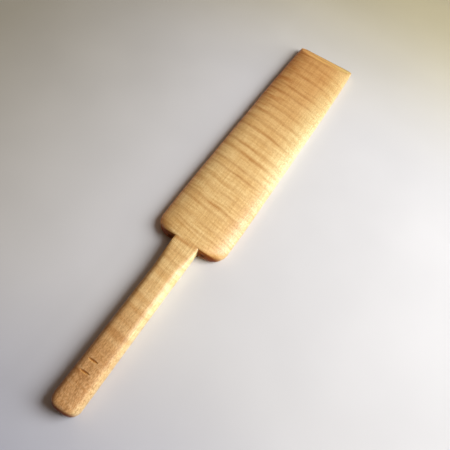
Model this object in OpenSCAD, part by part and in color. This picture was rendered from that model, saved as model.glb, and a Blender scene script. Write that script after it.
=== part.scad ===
// Wood edge slicker: a flat maple paddle for burnishing leather edges.
// The tool lies on its flat underside. Z is up, and Y runs from the handle's end to the tip.
// The origin is on the underside, under the middle of the tool's length and width.

/* [Blade] */
// Length of the blade, from the shoulder to the tip edge
blade_length = 183.2; // [150:0.2:240]
// Greatest width of the blade
blade_width = 43; // [34:0.2:60]
// Thickness of the blade along its middle
blade_thickness = 9.5; // [9.4:0.1:12]
// How far the top face falls from the middle to the long edges, before these are rounded
blade_crown = 2.2; // [0.5:0.1:2.4]
// Rounding of the upper edges of the blade
blade_edge_radius = 4.4; // [2:0.1:4.6]
// Rounding of the two shoulder corners, seen from above
shoulder_radius = 9; // [4:0.5:11]

/* [Tip] */
// Length of the flat bevel that thins the blade towards the tip
bevel_length = 12; // [6:0.2:20]
// Thickness left at the tip edge
tip_thickness = 3.4; // [3.2:0.1:6]
// Rounding of the two tip corners, seen from above
tip_radius = 3; // [1:0.5:6]

/* [Handle] */
// Length of the handle, from its end to the blade's shoulder
handle_length = 97.4; // [70:0.2:140]
// Width of the handle
handle_width = 14.7; // [13:0.1:18]
// How far the top face falls from the middle to the sides of the handle
handle_crown = 0.9; // [0.3:0.1:1.4]
// Rounding of the upper edges of the handle
handle_edge_radius = 3.8; // [1:0.1:4.4]
// Rounding of the corners at the handle's end, seen from above
handle_end_radius = 5.4; // [2:0.1:6]

/* [Joint] */
// Length of the tenon on the handle, glued into the blade's shoulder
tenon_length = 24; // [12:1:40]
// Width of the tenon
tenon_width = 8; // [5:0.5:9]
// Thickness of the tenon
tenon_thickness = 4; // [2.5:0.1:4.5]
// Room for glue on each face of the tenon
glue_gap = 0.05; // [0.03:0.01:0.1]

/* [Maker's marks] */
// Length of each chip-carved nick, across the handle
nick_length = 5.4; // [3:0.1:7]
// Greatest width of each nick
nick_width = 1.5; // [0.8:0.1:2]
// Distance from the handle's end to the middle of the two nicks
nick_distance = 21.4; // [16:0.2:40]
// Distance between the two nicks
nick_spacing = 5.8; // [4:0.2:10]

/* [Hidden] */
$fn = 96;
FINE_FN = 720;
MAPLE = [0.86, 0.67, 0.43];
MAPLE_HANDLE = [0.83, 0.63, 0.40];
over = 1;
total_length = blade_length + handle_length;
handle_end_y = -total_length / 2;
shoulder_y = handle_end_y + handle_length;
tip_y = total_length / 2;
// The handle is finished a hair below the blade
handle_thickness = blade_thickness - 0.1;
// The sides of the blade draw in a little towards the shoulder and towards the tip
shoulder_narrowing = 1;
shoulder_taper_length = 24;
tip_narrowing = 1.2;
tip_taper_length = 60;
// Rounding of the lower edges
blade_underside_radius = 3;
handle_underside_radius = 2.4;
// Rounding of the upper edges across the two ends
shoulder_edge_radius = 1.3;
handle_end_edge_radius = 3;
tenon_middle_z = blade_thickness / 2;
// Depth that the mortise has beyond the end of the tenon
mortise_room = 0.5;
// The nicks sit a little left of the handle's middle
nick_x = -1;

// Radius of an arc that falls by drop over half of width
function crown_radius(width, drop) = (width * width / 4 + drop * drop) / (2 * drop);

// Middle of a corner's rounding, where the side leans out by lean for each mm away from the end
function corner_x(end_half_width, lean, radius) =
    end_half_width + lean * radius - radius * sqrt(1 + lean * lean);

// Flat-bottomed section with rounded edges and a crowned top, drawn with y as the height.
// The rounding of the upper edges runs smoothly into the crown.
module section(width, thickness, crown, upper_radius, lower_radius) {
    arc = crown_radius(width, crown);
    arc_y = thickness - arc;
    round_x = width / 2 - upper_radius;
    round_y = arc_y + sqrt((arc - upper_radius) ^ 2 - round_x ^ 2);
    low_x = round_x * (lower_radius - arc_y) / (round_y - arc_y);
    high_x = round_x * (thickness + over - arc_y) / (round_y - arc_y);
    translate([-width / 2, lower_radius])
        square([width, round_y - lower_radius]);
    translate([-width / 2 + lower_radius, 0])
        square([width - 2 * lower_radius, round_y]);
    for (side = [-1, 1]) {
        translate([side * round_x, round_y])
            circle(upper_radius);
        translate([side * (width / 2 - lower_radius), lower_radius])
            circle(lower_radius);
    }
    intersection() {
        polygon([
            [-low_x, lower_radius],
            [low_x, lower_radius],
            [high_x, thickness + over],
            [-high_x, thickness + over],
        ]);
        translate([0, arc_y])
            circle(arc, $fn = FINE_FN);
    }
}

module blade_section() {
    section(blade_width, blade_thickness, blade_crown, blade_edge_radius,
        blade_underside_radius);
}

module handle_section() {
    section(handle_width, handle_thickness, handle_crown, handle_edge_radius,
        handle_underside_radius);
}

// A section carried along Y from y_start
module run(y_start, length) {
    translate([0, y_start + length, 0])
        rotate([90, 0, 0])
            linear_extrude(length)
                children();
}

// Outline of the blade seen from above, from its shoulder
module blade_outline() {
    half_width = blade_width / 2;
    shoulder_half = half_width - shoulder_narrowing;
    shoulder_lean = shoulder_narrowing / shoulder_taper_length;
    shoulder_x = corner_x(shoulder_half, shoulder_lean, shoulder_radius);
    tip_half = half_width - tip_narrowing;
    tip_lean = tip_narrowing / tip_taper_length;
    tip_x = corner_x(tip_half, tip_lean, tip_radius);
    for (side = [-1, 1]) {
        polygon([
            [0, 0],
            [side * shoulder_x, 0],
            [side * shoulder_x, shoulder_radius],
            [side * (shoulder_half + shoulder_lean * shoulder_radius), shoulder_radius],
            [side * half_width, shoulder_taper_length],
            [side * half_width, blade_length - tip_taper_length],
            [side * (tip_half + tip_lean * tip_radius), blade_length - tip_radius],
            [side * tip_x, blade_length - tip_radius],
            [side * tip_x, blade_length],
            [0, blade_length],
        ]);
        translate([side * shoulder_x, shoulder_radius])
            circle(shoulder_radius);
        translate([side * tip_x, blade_length - tip_radius])
            circle(tip_radius);
    }
}

// Outline of the handle seen from above, from its end
module handle_outline() {
    translate([-handle_width / 2, handle_end_radius])
        square([handle_width, handle_length - handle_end_radius]);
    translate([-handle_width / 2 + handle_end_radius, 0])
        square([handle_width - 2 * handle_end_radius, handle_length]);
    for (side = [-1, 1])
        translate([side * (handle_width / 2 - handle_end_radius), handle_end_radius])
            circle(handle_end_radius);
}

// Side view of a bar whose near end has rounded edges, drawn with x along the bar
module rounded_end_profile(length, thickness, upper_radius, lower_radius) {
    translate([0, lower_radius])
        square([length, thickness - upper_radius - lower_radius]);
    translate([upper_radius, lower_radius])
        square([length - upper_radius, thickness - lower_radius]);
    translate([lower_radius, 0])
        square([length - lower_radius, thickness - upper_radius]);
    translate([upper_radius, thickness - upper_radius])
        circle(upper_radius);
    translate([lower_radius, lower_radius])
        circle(lower_radius);
}

// A side view carried across X
module across(width) {
    rotate([90, 0, 90])
        translate([0, 0, -width / 2])
            linear_extrude(width)
                children();
}

// The shoulder's edges are rounded on both sides of the handle, and left square behind it
module blade_body() {
    intersection() {
        run(shoulder_y, blade_length)
            blade_section();
        translate([0, shoulder_y, 0])
            linear_extrude(blade_thickness)
                blade_outline();
        translate([0, shoulder_y, 0])
            across(blade_width + over)
                rounded_end_profile(blade_length, blade_thickness, shoulder_edge_radius,
                    blade_underside_radius);
    }
    run(shoulder_y, shoulder_radius)
        handle_section();
}

// Wedge taken off the top of the tip
module tip_bevel() {
    rise = blade_thickness - tip_thickness;
    across(blade_width + 2 * over)
        polygon([
            [tip_y - bevel_length, blade_thickness],
            [tip_y, tip_thickness],
            [tip_y + over, tip_thickness - rise * over / bevel_length],
            [tip_y + over, blade_thickness + over],
            [tip_y - bevel_length, blade_thickness + over],
        ]);
}

// Tenon, or with gap the mortise that it fits
module tenon(length, gap) {
    translate([-tenon_width / 2 - gap, shoulder_y, tenon_middle_z - tenon_thickness / 2 - gap])
        cube([tenon_width + 2 * gap, length, tenon_thickness + 2 * gap]);
}

module mortise() {
    translate([0, -over, 0])
        tenon(tenon_length + mortise_room + over, glue_gap);
}

// One chip-carved nick: a slim spindle lying across the handle, flush with the crowned top
module nick(y) {
    arc = crown_radius(handle_width, handle_crown);
    translate([0, y, handle_thickness - arc])
        rotate([0, asin(nick_x / arc), 0])
            translate([0, 0, arc])
                for (side = [-1, 1])
                    rotate([0, side * 90, 0])
                        cylinder(h = nick_length / 2, r1 = nick_width / 2, r2 = 0);
}

module blade() {
    color(MAPLE)
        difference() {
            blade_body();
            tip_bevel();
            mortise();
        }
}

module handle_bar() {
    intersection() {
        run(handle_end_y, handle_length)
            handle_section();
        translate([0, handle_end_y, 0])
            linear_extrude(handle_thickness)
                handle_outline();
        translate([0, handle_end_y, 0])
            across(handle_width + over)
                rounded_end_profile(handle_length, handle_thickness, handle_end_edge_radius,
                    handle_underside_radius);
    }
}

module handle() {
    color(MAPLE_HANDLE)
        difference() {
            union() {
                handle_bar();
                translate([0, -over, 0])
                    tenon(tenon_length + over, 0);
            }
            for (place = [-0.5, 0.5])
                nick(handle_end_y + nick_distance + place * nick_spacing);
        }
}

blade();
handle();
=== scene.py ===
"""Wood edge slicker: the looks of a curly maple paddle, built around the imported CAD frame.

Lengths are in millimetres while a mesh is worked out, and MM turns them into metres.
X runs across the tool, Y from the handle's end to the tip and Z up from the flat underside.
"""

import math

import bpy
import numpy as np
from mathutils import Matrix, Vector


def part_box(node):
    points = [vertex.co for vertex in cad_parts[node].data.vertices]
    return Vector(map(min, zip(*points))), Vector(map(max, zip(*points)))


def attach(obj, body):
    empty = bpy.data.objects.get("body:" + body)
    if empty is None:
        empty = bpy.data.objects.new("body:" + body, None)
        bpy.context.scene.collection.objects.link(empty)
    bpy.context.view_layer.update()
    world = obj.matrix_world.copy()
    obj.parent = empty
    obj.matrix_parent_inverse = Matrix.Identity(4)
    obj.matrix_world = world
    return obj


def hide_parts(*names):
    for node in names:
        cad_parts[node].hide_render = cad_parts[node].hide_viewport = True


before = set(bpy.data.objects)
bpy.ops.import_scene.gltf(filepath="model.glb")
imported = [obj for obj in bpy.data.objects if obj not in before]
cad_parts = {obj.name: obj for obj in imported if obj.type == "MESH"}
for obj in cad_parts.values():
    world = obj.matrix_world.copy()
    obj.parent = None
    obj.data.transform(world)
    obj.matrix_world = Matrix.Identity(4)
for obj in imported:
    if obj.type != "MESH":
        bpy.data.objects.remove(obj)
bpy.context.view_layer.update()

MM = 0.001


# ---------------------------------------------------------------- sizes

def node_box(node):
    """Lowest and highest corners of a CAD node, in millimetres."""
    low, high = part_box(node)
    return np.array(low) / MM, np.array(high) / MM


blade_low, blade_high = node_box("blade")
handle_low, handle_high = node_box("handle")

SHOULDER_Y = blade_low[1]
TIP_Y = blade_high[1]
HANDLE_END_Y = handle_low[1]
TENON_END_Y = handle_high[1]
BLADE_HALF_WIDTH = blade_high[0]
HANDLE_HALF_WIDTH = handle_high[0]
BLADE_THICKNESS = blade_high[2]
# The CAD handle stands a hair below the blade. Here it is sanded flush with it.
HANDLE_STEP = 0.1
HANDLE_THICKNESS = handle_high[2] + HANDLE_STEP

# CORNER values round the outline seen from above, and ROUND values the edges across an end.
# UNDERSIDE_ROUND values round the lower edges. ROLL values say how deep the long upper edges are
# rolled over.
SHOULDER_CORNER = 9.0
SHOULDER_NARROWING = 1.0
SHOULDER_TAPER_LENGTH = 24.0
SHOULDER_ROUND = 1.3
TIP_CORNER = 3.0
TIP_ROUND = 0.4
TIP_NARROWING = 1.2
TIP_TAPER_LENGTH = 75.0
HANDLE_CORNER = 5.4
HANDLE_END_ROUND = 3.0
BLADE_ROLL = 5.6
BLADE_UNDERSIDE_ROUND = 3.0
HANDLE_ROLL = 4.4
HANDLE_UNDERSIDE_ROUND = 2.4
NECK_ROLL = 0.6
NECK_LENGTH = 22.0
# How far the handle's sides draw in at its middle, and how much sanding takes off the blade's.
HANDLE_WAIST = 0.12
SANDING_LOSS = 0.08

BEVEL_LENGTH = 12.0
TIP_THICKNESS = 3.4
BEVEL_BLEND = 0.3

TENON_HALF_WIDTH = 4.0
TENON_HALF_THICKNESS = 2.0
TENON_MIDDLE_Z = BLADE_THICKNESS / 2
GLUE_GAP = 0.05
MORTISE_ROOM = 0.5

# Middle of each nick: across from the handle's middle, and along from its end.
NICK_PLACES = [(-1.0, 18.5), (-1.0, 24.3)]
NICK_HALF_LENGTH = 2.7
NICK_HALF_WIDTH = 0.75
NICK_DEPTH = 0.45

# How finely the side of a section is drawn, and the angle between faces that reads as an edge.
WALL_POINTS = 4
ROUND_POINTS = 4
SHARP_ANGLE = math.radians(38)


# ---------------------------------------------------------------- lofted bars

def fall_of_arc(distance, radius):
    """How far a rounded edge of that radius has fallen at a distance from the face beyond it."""
    inside = np.clip(radius - distance, 0, radius)
    return radius - np.sqrt(radius ** 2 - inside ** 2)


def soft_minimum(a, b, blend):
    """The smaller of two heights, with the crease between them rounded."""
    return 0.5 * (a + b - np.sqrt((a - b) ** 2 + 4 * blend ** 2))


def columns_across(power, middle_count, side_count):
    """Places from 1 to -1 across a top: even in the middle, closer where the edges roll over."""
    side_start = 0.8
    first = math.asin(side_start ** (power / 2))
    turns = np.linspace(math.pi / 2, first, side_count, endpoint=False)
    side = np.sin(turns) ** (2 / power)
    middle = np.linspace(side_start, -side_start, middle_count)
    return np.concatenate([side, middle, -side[::-1]])


class Bar:
    """A flat-bottomed bar with a crowned top, as closed sections along Y."""

    def __init__(self, thickness, underside_round, power, middle_count, side_count,
                 bottom_count, joint_half_width=-1.0):
        self.thickness = thickness
        self.joint_half_width = joint_half_width
        self.underside_round = underside_round
        self.power = power
        self.columns = columns_across(power, middle_count, side_count)
        self.bottom_columns = np.linspace(1, -1, bottom_count)

    def section(self, y, half_width, roll_depth, top_fall, lift, shape_top):
        """One closed section, with its long upper edges rolled over by roll_depth.

        Towards an end, top_fall lowers the top and lift raises the bottom.
        """
        roll = 1 - np.sqrt(1 - np.abs(self.columns) ** self.power)
        fall = top_fall + roll * np.maximum(roll_depth - top_fall, 0)
        top_x = half_width * self.columns
        top_z = shape_top(top_x, y, self.thickness - fall)
        side_x, side_z = self.side(half_width, lift, top_z[0])
        left_x, left_z = self.side(half_width, lift, top_z[-1])
        bottom_x = (half_width - self.underside_round) * self.bottom_columns
        bottom_z = lift * np.clip(np.abs(bottom_x) - self.joint_half_width, 0, 1)
        x = np.concatenate([top_x, -left_x, -bottom_x, side_x[::-1]])
        z = np.concatenate([top_z, left_z, bottom_z, side_z[::-1]])
        return np.stack([x, np.full_like(x, y), z], axis=1)

    def side(self, half_width, lift, edge_z):
        """A side wall below its rolled edge, and the small round that ends it at the bottom."""
        radius = self.underside_round
        wall_z = np.linspace(edge_z, lift + radius, WALL_POINTS + 1)[1:]
        turns = np.linspace(0, math.pi / 2, ROUND_POINTS + 2)[1:-1]
        wall_x = np.full(WALL_POINTS, half_width)
        x = np.concatenate([wall_x, half_width - radius * (1 - np.cos(turns))])
        z = np.concatenate([wall_z, lift + radius * (1 - np.sin(turns))])
        return x, z

    def outline_box(self, y, half_width, half_height, middle_z):
        """A rectangle with as many points as a section, for a tenon or its mortise."""
        side_count = WALL_POINTS + ROUND_POINTS
        side_z = np.linspace(half_height, -half_height, side_count + 2)[1:-1]
        top_x = half_width * self.columns
        bottom_x = half_width * self.bottom_columns
        x = np.concatenate([top_x, np.full(side_count, -half_width), -bottom_x,
                            np.full(side_count, half_width)])
        z = np.concatenate([np.full_like(top_x, half_height), side_z,
                            np.full_like(bottom_x, -half_height), side_z[::-1]])
        return np.stack([x, np.full_like(x, y), z + middle_z], axis=1)


def mesh_from_rings(name, rings):
    """A closed skin over a row of closed sections that all have the same number of points."""
    count = len(rings[0])
    points = np.concatenate(rings) * MM
    faces = [list(range(count))]
    for row in range(len(rings) - 1):
        here, after = row * count, (row + 1) * count
        for i in range(count):
            j = (i + 1) % count
            faces.append([here + j, here + i, after + i, after + j])
    last = (len(rings) - 1) * count
    faces.append([last + i for i in reversed(range(count))])
    mesh = bpy.data.meshes.new(name)
    mesh.from_pydata(points.tolist(), [], faces)
    mesh.validate()
    mesh.shade_smooth()
    mesh.set_sharp_from_angle(angle=SHARP_ANGLE)
    piece = bpy.data.objects.new(name, mesh)
    bpy.context.scene.collection.objects.link(piece)
    return piece


def rows(start, stop, step):
    """Even places between two ends, without the ends."""
    count = max(2, round((stop - start) / step))
    return np.linspace(start, stop, count + 1)[1:-1]


def corner_rows(radius, count):
    """Distances from an end that follow the arc of its corners."""
    return radius * (1 - np.cos(np.linspace(0, math.pi / 2, count)))


def corner_inset(distance, radius):
    """How far a rounded corner pulls the side in at a distance from the end."""
    inside = np.clip(radius - distance, 0, radius)
    return radius - math.sqrt(radius ** 2 - inside ** 2)


# ---------------------------------------------------------------- blade

def sanding_waver(y):
    """The slight unevenness of hand sanding along an edge, never more than SANDING_LOSS."""
    return 0.05 * math.sin(y / 17 + 1.3) + 0.03 * math.sin(y / 7.3 + 2.6)


def blade_top(x, y, z):
    """The top of the blade, cut by the flat bevel towards the tip."""
    slope = (BLADE_THICKNESS - TIP_THICKNESS) / BEVEL_LENGTH
    bevel_z = TIP_THICKNESS + slope * (TIP_Y - y)
    z = soft_minimum(z, bevel_z, BEVEL_BLEND)
    return z - fall_of_arc(np.full_like(z, TIP_Y - y), TIP_ROUND)


def blade_places():
    """Where the sections of the blade stand, closest at its corners and at the bevel's crease."""
    plain_step, crease_step, bevel_step = 1.5, 0.3, 0.5
    crease_reach = 2
    overlap = 0.2
    bevel_y = TIP_Y - BEVEL_LENGTH
    before, after = bevel_y - crease_reach, bevel_y + crease_reach
    corner = SHOULDER_Y + corner_rows(SHOULDER_CORNER, 24)
    tip = TIP_Y - corner_rows(TIP_CORNER, 16)[::-1]
    return np.concatenate([corner, rows(corner[-1], before, plain_step),
                           rows(before - overlap, after, crease_step),
                           rows(after, tip[0], bevel_step), tip])


def blade_half_width(from_shoulder, from_tip, y):
    """Half the blade's width, drawn in towards both ends and rounded at its corners."""
    half_width = BLADE_HALF_WIDTH - corner_inset(from_shoulder, SHOULDER_CORNER)
    half_width -= corner_inset(from_tip, TIP_CORNER)
    half_width -= TIP_NARROWING * max(1 - from_tip / TIP_TAPER_LENGTH, 0) ** 2
    half_width -= SHOULDER_NARROWING * max(1 - from_shoulder / SHOULDER_TAPER_LENGTH, 0) ** 2
    if from_shoulder > SHOULDER_CORNER:
        half_width -= SANDING_LOSS - sanding_waver(y)
    return half_width


def make_blade():
    """The blade, from the bottom of its mortise out to the shoulder and along to the tip."""
    bar = Bar(BLADE_THICKNESS, BLADE_UNDERSIDE_ROUND, power=3, middle_count=37, side_count=14,
              bottom_count=42, joint_half_width=HANDLE_HALF_WIDTH)
    mortise = dict(half_width=TENON_HALF_WIDTH + GLUE_GAP, middle_z=TENON_MIDDLE_Z,
                   half_height=TENON_HALF_THICKNESS + GLUE_GAP)
    rings = [bar.outline_box(TENON_END_Y + MORTISE_ROOM, **mortise),
             bar.outline_box(SHOULDER_Y, **mortise)]
    for y in blade_places():
        from_shoulder, from_tip = y - SHOULDER_Y, TIP_Y - y
        half_width = blade_half_width(from_shoulder, from_tip, y)
        lift = fall_of_arc(from_shoulder, BLADE_UNDERSIDE_ROUND) + fall_of_arc(from_tip, TIP_ROUND)
        top_fall = fall_of_arc(from_shoulder, SHOULDER_ROUND)
        rings.append(bar.section(y, half_width, BLADE_ROLL, top_fall, lift, blade_top))
    return mesh_from_rings("blade_body", rings)


# ---------------------------------------------------------------- handle

def nick_cut(x, y):
    """Depth of the two chip-carved nicks at a point of the handle's top."""
    depth = np.zeros_like(x)
    for middle_x, from_end in NICK_PLACES:
        along = np.clip(1 - ((x - middle_x) / NICK_HALF_LENGTH) ** 2, 0, 1)
        half_width = NICK_HALF_WIDTH * np.sqrt(along) + 1e-6
        across = np.clip(1 - np.abs(y - HANDLE_END_Y - from_end) / half_width, 0, 1)
        depth = np.maximum(depth, NICK_DEPTH * np.sqrt(along) * across)
    return depth


def handle_top(x, y, z):
    """The top of the handle, with the nicks cut into it."""
    return z - nick_cut(x, y)


def handle_waist(y):
    """How far the sides of the handle draw in along its middle, in millimetres."""
    along = (y - HANDLE_END_Y) / (SHOULDER_Y - HANDLE_END_Y)
    return HANDLE_WAIST * math.sin(math.pi * min(max(along, 0), 1)) ** 1.5


def handle_roll(y):
    """How deep the handle's upper edges are rolled over: less in the corner at the shoulder."""
    share = min(max((SHOULDER_Y - y) / NECK_LENGTH, 0), 1)
    share = share * share * (3 - 2 * share)
    return NECK_ROLL + (HANDLE_ROLL - NECK_ROLL) * share


def shoulder_face_y(z):
    """Where the rounded upper edge of the blade's shoulder stands at a height."""
    above = np.clip(z - (BLADE_THICKNESS - SHOULDER_ROUND), 0, SHOULDER_ROUND)
    return SHOULDER_Y + SHOULDER_ROUND - np.sqrt(SHOULDER_ROUND ** 2 - above ** 2)


def handle_places():
    """Where the sections of the handle stand, closest at its corners and across the nicks."""
    plain_step, nick_step = 1.2, 0.1
    nick_margin, shoulder_margin = 0.2, 0.5
    reach = NICK_HALF_WIDTH + nick_margin
    corner = HANDLE_END_Y + corner_rows(HANDLE_CORNER, 20)
    places = [corner]
    start = corner[-1]
    for _, from_end in NICK_PLACES:
        middle = HANDLE_END_Y + from_end
        places.append(rows(start, middle - reach, plain_step))
        places.append(rows(middle - reach - nick_step, middle + reach + nick_step, nick_step))
        start = middle + reach
    places.append(rows(start, SHOULDER_Y - shoulder_margin, plain_step))
    return np.concatenate(places)


def tenon_rings(bar):
    """The end of the handle that fits against the shoulder, and the tenon beyond it."""
    tenon = dict(half_width=TENON_HALF_WIDTH, half_height=TENON_HALF_THICKNESS,
                 middle_z=TENON_MIDDLE_Z)
    root = bar.section(SHOULDER_Y, HANDLE_HALF_WIDTH, NECK_ROLL, 0.0, 0.0, handle_top)
    tenon_start = bar.outline_box(SHOULDER_Y, **tenon)
    rings = []
    for share in np.linspace(0, 1, 7):
        ring = root * (1 - share) + tenon_start * share
        ring[:, 1] = shoulder_face_y(ring[:, 2])
        rings.append(ring)
    rings.append(bar.outline_box(TENON_END_Y, **tenon))
    return rings


def mark_nicks(piece):
    """Gives each point of the mesh its share of a nick's depth, for the material to darken."""
    points = np.array([v.co for v in piece.data.vertices]) / MM
    share = nick_cut(points[:, 0], points[:, 1]) / NICK_DEPTH
    share[points[:, 2] < HANDLE_THICKNESS / 2] = 0
    attribute = piece.data.attributes.new("nick", "FLOAT", "POINT")
    attribute.data.foreach_set("value", share.astype(np.float32))


def make_handle():
    """The handle, from its rounded end to the end of its tenon."""
    bar = Bar(HANDLE_THICKNESS, HANDLE_UNDERSIDE_ROUND, power=4, middle_count=49, side_count=12,
              bottom_count=20)
    rings = []
    for y in handle_places():
        from_end = y - HANDLE_END_Y
        half_width = HANDLE_HALF_WIDTH - corner_inset(from_end, HANDLE_CORNER) - handle_waist(y)
        lift = fall_of_arc(from_end, HANDLE_UNDERSIDE_ROUND)
        top_fall = fall_of_arc(from_end, HANDLE_END_ROUND)
        rings.append(bar.section(y, half_width, handle_roll(y), top_fall, lift, handle_top))
    piece = mesh_from_rings("handle_body", rings + tenon_rings(bar))
    mark_nicks(piece)
    return piece


# ---------------------------------------------------------------- materials

class Nodes:
    """A short way to write a node tree."""

    def __init__(self, material):
        material.use_nodes = True
        self.tree = material.node_tree
        self.tree.nodes.clear()

    def set(self, socket, value):
        """Links a socket to another node's output, or gives it a plain value."""
        if isinstance(value, bpy.types.NodeSocket):
            self.tree.links.new(value, socket)
        else:
            socket.default_value = value

    def add(self, kind, inputs=None, **settings):
        """A new node. inputs are named or numbered sockets, and settings are its other options."""
        node = self.tree.nodes.new(kind)
        for name, value in settings.items():
            setattr(node, name, value)
        for name, value in (inputs or {}).items():
            self.set(node.inputs[name], value)
        return node

    def math(self, operation, *values):
        """One sum worked out at each point."""
        return self.add("ShaderNodeMath", dict(enumerate(values)), operation=operation).outputs[0]

    def times(self, first, *others):
        """The product of two or more values."""
        for other in others:
            first = self.math("MULTIPLY", first, other)
        return first

    def highest(self, first, *others):
        """The largest of two or more values."""
        for other in others:
            first = self.math("MAXIMUM", first, other)
        return first

    def ranged(self, value, low, high, to_low=0.0, to_high=1.0, smooth=False):
        """A value carried from one range to another, and held at the ends."""
        kind = "SMOOTHSTEP" if smooth else "LINEAR"
        inputs = {"Value": value, "From Min": low, "From Max": high,
                  "To Min": to_low, "To Max": to_high}
        return self.add("ShaderNodeMapRange", inputs, interpolation_type=kind).outputs[0]

    def place(self):
        """Where a point lies on the object along X, Y and Z, in millimetres."""
        metres = self.add("ShaderNodeTexCoord").outputs["Object"]
        split = self.add("ShaderNodeSeparateXYZ", {"Vector": metres})
        return tuple(self.math("DIVIDE", split.outputs[i], MM) for i in range(3))

    def noise(self, place, size, seed, detail=2.0):
        """Noise with features of a given size in millimetres along X, Y and Z."""
        x, y, z = (self.math("DIVIDE", place[i], size[i]) for i in range(3))
        inputs = {"X": x, "Y": y, "Z": self.math("ADD", z, seed)}
        at = self.add("ShaderNodeCombineXYZ", inputs).outputs[0]
        return self.add("ShaderNodeTexNoise", {"Vector": at, "Scale": 1.0, "Detail": detail,
                                               "Roughness": 0.5}).outputs[0]

    def spots(self, place, size, low, high, to_low=0.0, to_high=1.0, *, seed, detail=2.0):
        """Noise that is flat below low and above high, so it reads as spots or streaks."""
        return self.ranged(self.noise(place, size, seed, detail), low, high, to_low, to_high)

    def mix(self, share, a, b, blend_type="MIX"):
        """Colour a blended with colour b, as far as share says."""
        node = self.add("ShaderNodeMix", data_type="RGBA", blend_type=blend_type)
        values = {("VALUE", "Factor"): share, ("RGBA", "A"): a, ("RGBA", "B"): b}
        for socket in node.inputs:
            if socket.enabled and (socket.type, socket.name) in values:
                self.set(socket, values[socket.type, socket.name])
        colour_output = 2
        return node.outputs[colour_output]

    def tint(self, colour, share, by):
        """Multiplies a colour by another, as far as share says."""
        return self.mix(share, colour, (*by, 1.0), blend_type="MULTIPLY")


# The curls of the maple: dark stripes across the grain, about evenly spaced and each with a
# darkness of its own. CURL_MARGIN is the room that a ramp keeps beyond its outer stripes.
CURL_SPACING = 7.4
CURL_WANDER = 1.8
CURL_HALF_WIDTH = 2.1
CURL_MARGIN = 6.0
STRIPES_PER_RAMP = 10

# How far the stripes lean along the tool for each millimetre across it and up through it.
# LEAN_START takes the lean back, so that it is close to nothing at the height of the top.
LEAN_ACROSS = 0.14
LEAN_THROUGH = 0.35
LEAN_START = -3.2
FIGURE_WANDER = 0.7
WEAVE_PERIOD = 2.4

# What each layer multiplies the colour of the bare wood by.
CLOUD_TINT = (0.90, 0.86, 0.80)
STRIPE_TINT = (0.70, 0.52, 0.35)
RIPPLE_TINT = (0.86, 0.74, 0.58)
FINE_RIPPLE_TINT = (0.83, 0.71, 0.57)
WEAVE_TINT = (0.89, 0.80, 0.67)
LEFT_RIPPLE_TINT = (0.82, 0.61, 0.44)
FLECK_TINT = (0.80, 0.68, 0.54)
WARM_CORNER_TINT = (0.93, 0.72, 0.45)
# Painted highlight along the right edge.
RIGHT_EDGE_HIGHLIGHT_TINT = (1.06, 1.32, 1.55)
# Painted light on the bevel, which faces the light.
BEVEL_PAINTED_LIGHT_TINT = (1.22, 1.32, 1.08)
# End grain is darker from the oil, and darker still as painted shade.
END_GRAIN_AND_SHADE_TINT = (0.40, 0.19, 0.10)
PORE_TINT = (0.80, 0.70, 0.60)
# Glue line and painted shade at the shoulder.
GLUE_LINE_AND_SHADE_TINT = (0.80, 0.66, 0.52)
NICK_TINT = (0.62, 0.44, 0.30)


def curls_along(first, last, seed):
    """Where the dark stripes cross the middle, in millimetres from the shoulder, and how dark."""
    palest, darkest = 0.2, 0.9
    chance = np.random.default_rng(seed)
    places = np.arange(first, last, CURL_SPACING)
    places = places + chance.uniform(-CURL_WANDER, CURL_WANDER, len(places))
    darkness = chance.uniform(palest, darkest, len(places))
    return list(zip(places.tolist(), darkness.tolist()))


def curl_stripes(nodes, along, curls):
    """Darkness of the figure along the wood: ramps with stops at each stripe and its two edges.

    A ramp holds few stops, so the stripes are shared out over several ramps.
    """
    strips = []
    for group_start in range(0, len(curls), STRIPES_PER_RAMP):
        group = curls[group_start:group_start + STRIPES_PER_RAMP]
        low = group[0][0] - CURL_MARGIN
        high = group[-1][0] + CURL_MARGIN
        ramp = nodes.add("ShaderNodeValToRGB", {"Fac": nodes.ranged(along, low, high)})
        elements = ramp.color_ramp.elements
        ramp.color_ramp.interpolation = "EASE"
        elements[0].color = (0, 0, 0, 1)
        elements[1].color = (0, 0, 0, 1)
        for place, darkness in group:
            for at, value in ((place - CURL_HALF_WIDTH, 0), (place, darkness),
                              (place + CURL_HALF_WIDTH, 0)):
                element = elements.new((at - low) / (high - low))
                element.color = (value, value, value, 1)
        strips.append(ramp.outputs[0])
    total = strips[0]
    for strip in strips[1:]:
        total = nodes.math("ADD", total, strip)
    return total


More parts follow.
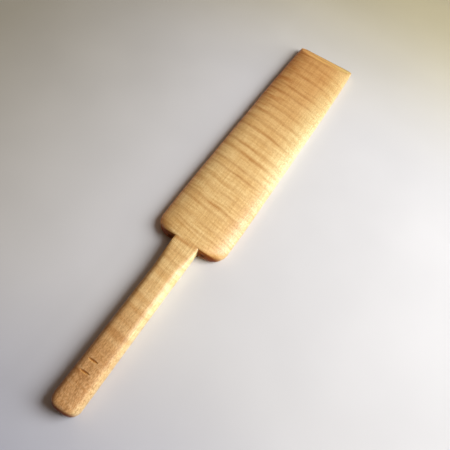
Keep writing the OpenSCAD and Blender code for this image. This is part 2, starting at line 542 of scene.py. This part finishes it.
class CurlyMaple:
    """Oiled curly maple, built from masks that say how strongly each layer shows at a point."""

    def __init__(self, name, curls, shade, far_end, worn=False):
        self.material = bpy.data.materials.new(name)
        self.nodes = Nodes(self.material)
        self.shade = shade
        self.find_places(far_end)
        self.find_faces()
        self.draw_figure(curls)
        self.draw_weave()
        self.draw_grain()
        layers = self.wood_layers() + self.face_layers() + [self.glue_line_and_shade()]
        if worn:
            layers.append(self.nicks())
        colour = self.nodes.mix(self.away, shade["near"], shade["far"])
        for mask, strength, tint in layers:
            colour = self.nodes.tint(colour, self.nodes.times(mask, strength), tint)
        self.finish(colour)

    def find_places(self, far_end):
        """Places in the wood, along Y from the shoulder, and along the leaning figure."""
        nodes = self.nodes
        self.x, y, z = nodes.place()
        self.y = nodes.math("SUBTRACT", y, SHOULDER_Y)
        self.at = (self.x, self.y, z)
        self.from_middle = nodes.math("ABSOLUTE", self.x)
        self.from_shoulder = nodes.math("ABSOLUTE", self.y)
        through = nodes.math("MULTIPLY_ADD", z, LEAN_THROUGH, LEAN_START)
        lean = nodes.math("MULTIPLY_ADD", self.x, LEAN_ACROSS, through)
        wander = nodes.spots(self.at, (16, 40, 20), 0.2, 0.8, -FIGURE_WANDER, FIGURE_WANDER,
                             seed=3.1)
        self.along = nodes.math("ADD", nodes.math("ADD", self.y, lean), wander)
        self.figure_at = (self.x, self.along, z)
        # Away from the shoulder the wood turns warmer and deeper: partly its own tone, partly
        # painted shade where the light falls off towards the ends.
        length = far_end - SHOULDER_Y
        self.away = nodes.ranged(self.y, self.shade["turns_at"] * length, 0.92 * length,
                                 smooth=True)

    def find_faces(self):
        """Which way a face looks: along the grain, to a side, or forward and up like the bevel."""
        nodes = self.nodes
        normal = nodes.add("ShaderNodeNewGeometry").outputs["Normal"]
        split = nodes.add("ShaderNodeSeparateXYZ", {"Vector": normal})
        across, facing = split.outputs["X"], split.outputs["Y"]
        self.end_grain = nodes.ranged(nodes.math("ABSOLUTE", facing), 0.52, 0.80)
        # Faces looking right are lightened as a painted highlight, where the light from the right
        # falls on them.
        self.right_side_painted_highlight = nodes.ranged(across, 0.3, 0.9)
        # Faces looking left carry painted warm bounce light on the blade and painted shade on the
        # handle.
        self.left_side_painted_light = nodes.ranged(across, *self.shade["left_turn"])
        self.bevel = nodes.times(nodes.ranged(facing, 0.25, 0.42),
                                 nodes.ranged(facing, 0.5, 0.6, 1.0, 0.0))

    def draw_figure(self, curls):
        """The curl: dark stripes across the grain, and the ripples between them."""
        nodes = self.nodes
        patches = nodes.spots(self.figure_at, (9, 5, 9), 0.3, 0.7, 0.55, 1.25, seed=7.7)
        right_fade = nodes.ranged(self.x, 9.0, 18.0, 1.0, 0.35, smooth=True)
        tip_fade = nodes.ranged(self.y, 60.0, 150.0, 1.0, 0.78)
        shoulder_fade = nodes.ranged(self.y, 4.0, 34.0, 0.55, 1.0, smooth=True)
        self.stripes = nodes.times(curl_stripes(nodes, self.along, curls), patches, right_fade,
                                   tip_fade, shoulder_fade)
        self.ripple = nodes.spots(self.figure_at, (22, 2.6, 14), 0.42, 0.72, seed=11.0)
        self.fine_ripple = nodes.spots(self.figure_at, (11, 1.3, 10), 0.45, 0.75, seed=15.0)
        left_part = nodes.times(nodes.ranged(self.x, -4.0, -15.0),
                                nodes.ranged(self.y, 70.0, 120.0))
        left_ripple = nodes.spots(self.figure_at, (16, 2.0, 14), 0.44, 0.62, seed=81.0)
        self.left_ripple = nodes.times(left_part, left_ripple)

    def draw_weave(self):
        """Close to the shoulder the ripples are narrow and even, like a weave with the grain."""
        nodes = self.nodes
        turns = nodes.math("MULTIPLY", self.along, 2 * math.pi / WEAVE_PERIOD)
        drift = nodes.noise(self.figure_at, (9, 5, 12), seed=71.0)
        phase = nodes.math("MULTIPLY_ADD", drift, 6.0, turns)
        waves = nodes.ranged(nodes.math("SINE", phase), -0.6, 1.0, smooth=True)
        patches = nodes.spots(self.at, (7, 7, 7), 0.35, 0.65, 0.35, 1.2, seed=75.0)
        fade = nodes.ranged(self.from_shoulder, 20.0, 75.0, self.shade["weave"], 0.2, smooth=True)
        self.weave = nodes.times(waves, patches, fade)

    def draw_grain(self):
        """Lines, flecks and specks along the grain, and clouds of colour."""
        nodes = self.nodes
        self.grain = nodes.spots(self.at, (0.9, 60, 1.1), 0.35, 0.7, detail=3, seed=21.0)
        self.fine_grain = nodes.spots(self.at, (0.35, 14, 0.4), 0.4, 0.7, seed=25.0)
        self.flecks = nodes.spots(self.at, (0.45, 1.2, 0.45), 0.48, 0.70, seed=31.0)
        self.clouds = nodes.spots(self.at, (18, 34, 18), 0.3, 0.7, seed=41.0)
        # The grain opens away from the shoulder. Specks show there and along the right edge.
        self.open_grain = nodes.times(self.away, self.shade["open_grain"])
        open_part = nodes.highest(self.open_grain, nodes.ranged(self.x, 11.0, 17.0, 0.0, 0.7))
        specks = nodes.spots(self.at, (0.30, 1.2, 0.30), 0.45, 0.60, detail=1, seed=61.0)
        self.specks = nodes.times(specks, open_part)

    def wood_layers(self):
        """Masks, strengths and tints of the figure and the grain, of warmer colour at the
        shoulder's corners, and of a painted highlight along the right edge.
        """
        nodes, shade = self.nodes, self.shade
        warm_corner = nodes.times(nodes.ranged(self.y, 9.0, 0.5),
                                  nodes.ranged(self.from_middle, 9.0, 16.0))
        # A painted highlight on the right half of the blade's top, where the light from the right
        # falls.
        right_edge_painted_highlight = nodes.times(nodes.ranged(self.x, 7.0, 17.0),
                                nodes.ranged(self.y, 25.0, 110.0))
        return [(self.clouds, 0.35, CLOUD_TINT),
                (self.stripes, 1.0, STRIPE_TINT),
                (self.ripple, 0.75, RIPPLE_TINT),
                (self.fine_ripple, 0.6, FINE_RIPPLE_TINT),
                (self.weave, 1.0, WEAVE_TINT),
                (self.left_ripple, 1.0, LEFT_RIPPLE_TINT),
                (self.grain, 0.60, shade["grain"]),
                (self.fine_grain, 0.55, shade["fine_grain"]),
                (self.flecks, 0.8, FLECK_TINT),
                (self.specks, 1.0, shade["specks"]),
                (warm_corner, 1.0, WARM_CORNER_TINT),
                (right_edge_painted_highlight, 1.0, RIGHT_EDGE_HIGHLIGHT_TINT)]

    def face_layers(self):
        """Tints of the sides, the bevel and the end grain: painted highlight on the right side,
        painted warm bounce light on the blade's left side and painted shade on the handle's,
        painted light on the bevel, and painted shade on the end grain, which is also darker from
        drinking more oil.
        """
        nodes, shade = self.nodes, self.shade
        pores = nodes.spots(self.at, (0.3, 3, 0.3), 0.45, 0.7, seed=51.0)
        return [(self.right_side_painted_highlight, 1.0, shade["right_side_painted_highlight"]),
                (self.left_side_painted_light, 1.0, shade["left_side_painted_light"]),
                # The bevel is lightened as painted light.
                (self.bevel, 1.0, BEVEL_PAINTED_LIGHT_TINT),
                # End grain: darker from the oil, and painted shade on the ends.
                (self.end_grain, 1.0, END_GRAIN_AND_SHADE_TINT),
                (nodes.times(self.end_grain, pores), 1.0, PORE_TINT)]

    def glue_line_and_shade(self):
        """The line of glue where the handle meets the shoulder, widened by painted shade in the
        crease there.
        """
        nodes = self.nodes
        from_line = nodes.math("ABSOLUTE", nodes.math("ADD", self.y, 0.3))
        line = nodes.ranged(from_line, 0.2, 1.9, 1.0, 0.0, smooth=True)
        beside_handle = nodes.ranged(self.from_middle, HANDLE_HALF_WIDTH - 0.6,
                                     HANDLE_HALF_WIDTH + 0.4, 1.0, 0.0)
        return nodes.times(line, beside_handle), 1.0, GLUE_LINE_AND_SHADE_TINT

    def nicks(self):
        """The carved nicks, darkened where they are deep."""
        nick = self.nodes.add("ShaderNodeAttribute", attribute_name="nick").outputs["Fac"]
        return self.nodes.ranged(nick, 0.05, 0.6), 1.0, NICK_TINT

    def finish(self, colour):
        """Satin oil over slightly raised grain.

        End grain, open grain, the left side and the bevel shine less.
        """
        nodes = self.nodes
        height = nodes.math("MULTIPLY", self.fine_grain, -0.5)
        height = nodes.math("MULTIPLY_ADD", self.flecks, -0.4, height)
        height = nodes.math("MULTIPLY_ADD", self.stripes, -0.25, height)
        bump = nodes.add("ShaderNodeBump", {"Strength": 0.25, "Distance": 0.04 * MM,
                                            "Height": height})
        rough = nodes.ranged(nodes.math("ADD", self.fine_grain, self.ripple), 0, 2, 0.40, 0.52)
        dull = nodes.highest(self.end_grain, nodes.times(self.left_side_painted_light, 0.8),
                             nodes.times(self.bevel, 0.9), self.open_grain)
        shader = nodes.add("ShaderNodeBsdfPrincipled",
                           {"Base Color": colour, "Roughness": rough, "Normal": bump.outputs[0],
                            "Specular IOR Level": nodes.ranged(dull, 0, 1, 0.5, 0.1),
                            "Coat Weight": nodes.ranged(dull, 0, 1, 0.25, 0.0),
                            "Coat Roughness": 0.42})
        nodes.add("ShaderNodeOutputMaterial", {"Surface": shader.outputs[0]})


def paper():
    """Pale paper, very slightly uneven."""
    material = bpy.data.materials.new("paper")
    nodes = Nodes(material)
    at = nodes.place()
    x, y, _ = at
    clouds = nodes.spots(at, (60, 60, 60), 0.3, 0.7, seed=2.0)
    colour = nodes.mix(clouds, (0.645, 0.645, 0.655, 1), (0.68, 0.68, 0.69, 1))
    # Painted light across the sheet: warm yellow light at the far end, cool grey light at the near
    # end, and painted shade on the left side, where the light falls off.
    colour = nodes.tint(colour, nodes.ranged(y, 80, 270, smooth=True), (0.86, 0.79, 0.52))
    colour = nodes.tint(colour, nodes.ranged(y, -80, -200, smooth=True), (0.71, 0.74, 0.86))
    colour = nodes.tint(colour, nodes.ranged(x, -40, -200), (0.70, 0.67, 0.55))
    folds = nodes.noise(at, (70, 45, 60), seed=9.0, detail=3)
    bump = nodes.add("ShaderNodeBump", {"Strength": 0.5, "Distance": 0.6 * MM, "Height": folds})
    shader = nodes.add("ShaderNodeBsdfPrincipled",
                       {"Base Color": colour, "Roughness": 0.8, "Normal": bump.outputs[0],
                        "Specular IOR Level": 0.2})
    nodes.add("ShaderNodeOutputMaterial", {"Surface": shader.outputs[0]})
    return material


# ---------------------------------------------------------------- stage

def make_floor():
    """A wide sheet of paper, a hair below the tool so that the two never share a plane."""
    reach = 4.0
    drop = 0.00005
    mesh = bpy.data.meshes.new("floor")
    corners = [(-reach, -reach, 0), (reach, -reach, 0), (reach, reach, 0), (-reach, reach, 0)]
    mesh.from_pydata(corners, [], [[0, 1, 2, 3]])
    floor = bpy.data.objects.new("floor", mesh)
    floor.location.z = -drop
    bpy.context.scene.collection.objects.link(floor)
    mesh.materials.append(paper())


def make_camera():
    """Looks down at the tool from in front of its handle, turned a little to the left."""
    turn, down, roll = math.radians(-18.29), math.radians(60.63), math.radians(-15.21)
    eye = Vector((0.0488, SHOULDER_Y * MM - 0.0928, 0.2216))
    forward = Vector((math.sin(turn) * math.cos(down), math.cos(turn) * math.cos(down),
                      -math.sin(down)))
    level = Vector((math.cos(turn), -math.sin(turn), 0))
    below = forward.cross(level)
    right = level * math.cos(roll) + below * math.sin(roll)
    up = right.cross(forward)
    facing = Matrix((right, up, -forward)).transposed()
    data = bpy.data.cameras.new("camera")
    data.sensor_width = 36
    data.lens = 36
    data.clip_start = 0.01
    camera = bpy.data.objects.new("camera", data)
    camera.matrix_world = Matrix.Translation(eye) @ facing.to_4x4()
    bpy.context.scene.collection.objects.link(camera)
    bpy.context.scene.camera = camera


def area_light(name, target, turn, height, distance, size, power, colour, spread=180):
    """A soft light, in metres. turn goes from +X towards +Y, and height up from the floor."""
    turn, height = math.radians(turn), math.radians(height)
    away = Vector((math.cos(height) * math.cos(turn), math.cos(height) * math.sin(turn),
                   math.sin(height)))
    data = bpy.data.lights.new(name, "AREA")
    data.shape = "RECTANGLE"
    data.size, data.size_y = size
    data.energy = power
    data.color = colour
    data.spread = math.radians(spread)
    light = bpy.data.objects.new(name, data)
    light.location = Vector(target) + away * distance
    light.rotation_euler = away.to_track_quat("Z", "Y").to_euler()
    bpy.context.scene.collection.objects.link(light)


def make_lights():
    """Daylight from the right, high and low, over a weak warm light from above and all round."""
    area_light("window", target=(0, -0.03, 0), turn=22, height=43, distance=0.60,
               size=(0.40, 0.40), power=2.20, colour=(0.97, 0.985, 1.0), spread=120)
    area_light("low window", target=(0, -0.03, 0), turn=14, height=14, distance=0.70,
               size=(0.40, 0.16), power=0.85, colour=(1.0, 0.98, 0.93), spread=120)
    area_light("sky", target=(0, 0, 0), turn=90, height=85, distance=1.0,
               size=(1.0, 1.0), power=0.62, colour=(1.0, 0.84, 0.70))
    world = bpy.data.worlds.new("room")
    world.use_nodes = True
    background = world.node_tree.nodes["Background"]
    background.inputs["Color"].default_value = (1.0, 0.62, 0.38, 1)
    background.inputs["Strength"].default_value = 0.10
    bpy.context.scene.world = world


# ---------------------------------------------------------------- the scene

def finish_piece(piece, node, material):
    """Gives a piece its material, hangs it on the root body and hides the CAD node that it stands
    for.
    """
    piece.data.materials.append(material)
    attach(piece, "root")
    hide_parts(node)


# near and far are the wood at the shoulder and away from it, changing from turns_at of the way.
# The darker far colour is partly painted shade where the light falls off towards the ends.
blade_shade = dict(near=(0.94, 0.70, 0.335, 1), far=(0.77, 0.465, 0.182, 1), turns_at=0.35,
                   weave=0.75, open_grain=0.15,
                   grain=(0.88, 0.78, 0.66), fine_grain=(0.82, 0.72, 0.60),
                   specks=(0.68, 0.59, 0.50),
                   # Painted warm bounce light on the left side.
                   left_turn=(-0.3, -0.8), left_side_painted_light=(1.25, 1.0, 0.92),
                   # Painted highlight on the right side.
                   right_side_painted_highlight=(1.05, 1.18, 1.42))
handle_shade = dict(near=(0.95, 0.70, 0.335, 1), far=(0.83, 0.535, 0.27, 1), turns_at=0.1,
                    weave=0.35, open_grain=0.9,
                    grain=(0.78, 0.68, 0.54), fine_grain=(0.66, 0.56, 0.44),
                    specks=(0.66, 0.57, 0.48),
                    # Painted shade on the left side.
                    left_turn=(-0.15, -0.5), left_side_painted_light=(0.76, 0.66, 0.58),
                    # Painted highlight on the right side.
                    right_side_painted_highlight=(1.16, 1.44, 1.68))
blade_curls = curls_along(first=7.0, last=TIP_Y - SHOULDER_Y, seed=4)
handle_curls = curls_along(first=HANDLE_END_Y - SHOULDER_Y + 10.0, last=-6.0, seed=2)
blade_maple = CurlyMaple("maple_blade", blade_curls, blade_shade, TIP_Y)
finish_piece(make_blade(), "blade", blade_maple.material)
handle_maple = CurlyMaple("maple_handle", handle_curls, handle_shade, HANDLE_END_Y, worn=True)
finish_piece(make_handle(), "handle", handle_maple.material)
make_floor()
make_camera()
make_lights()
bpy.context.scene.view_settings.view_transform = "Standard"
